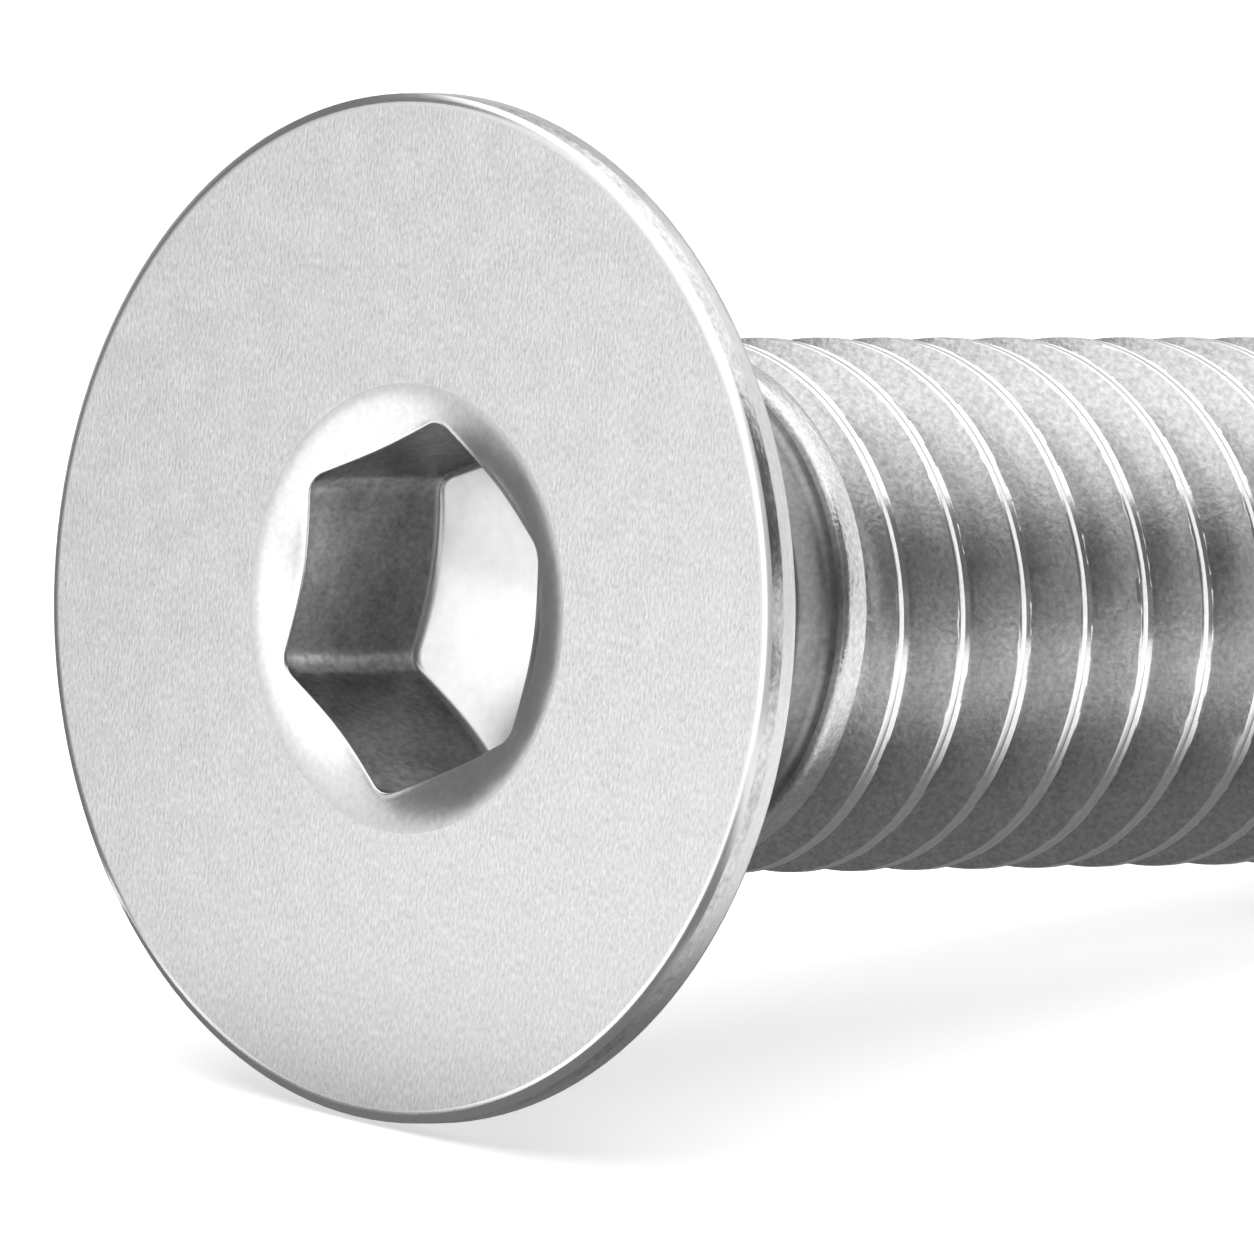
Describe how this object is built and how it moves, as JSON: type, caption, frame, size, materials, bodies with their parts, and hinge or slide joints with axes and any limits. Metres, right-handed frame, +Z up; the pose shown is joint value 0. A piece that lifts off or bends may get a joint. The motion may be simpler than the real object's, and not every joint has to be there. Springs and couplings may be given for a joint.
{
  "type": "countersunk socket screw",
  "caption": "Metric countersunk screw with a dished hexagon socket, a bare neck and a rolled right-hand thread, lying on its rim and tip.",
  "frame": {"origin": "middle of the lying screw's foot, on the surface that it rests on", "axes": "+X from the head to the tip, +Z up; the screw's own axis sinks 8.4 degrees from +X towards the tip"},
  "size_m": [0.0168, 0.0094, 0.0094],
  "materials": {
    "screw": "satin stainless steel, brighter on the rolled thread and the rim"
  },
  "bodies": {
    "root": {"screw": "screw"}
  },
  "joints": []
}
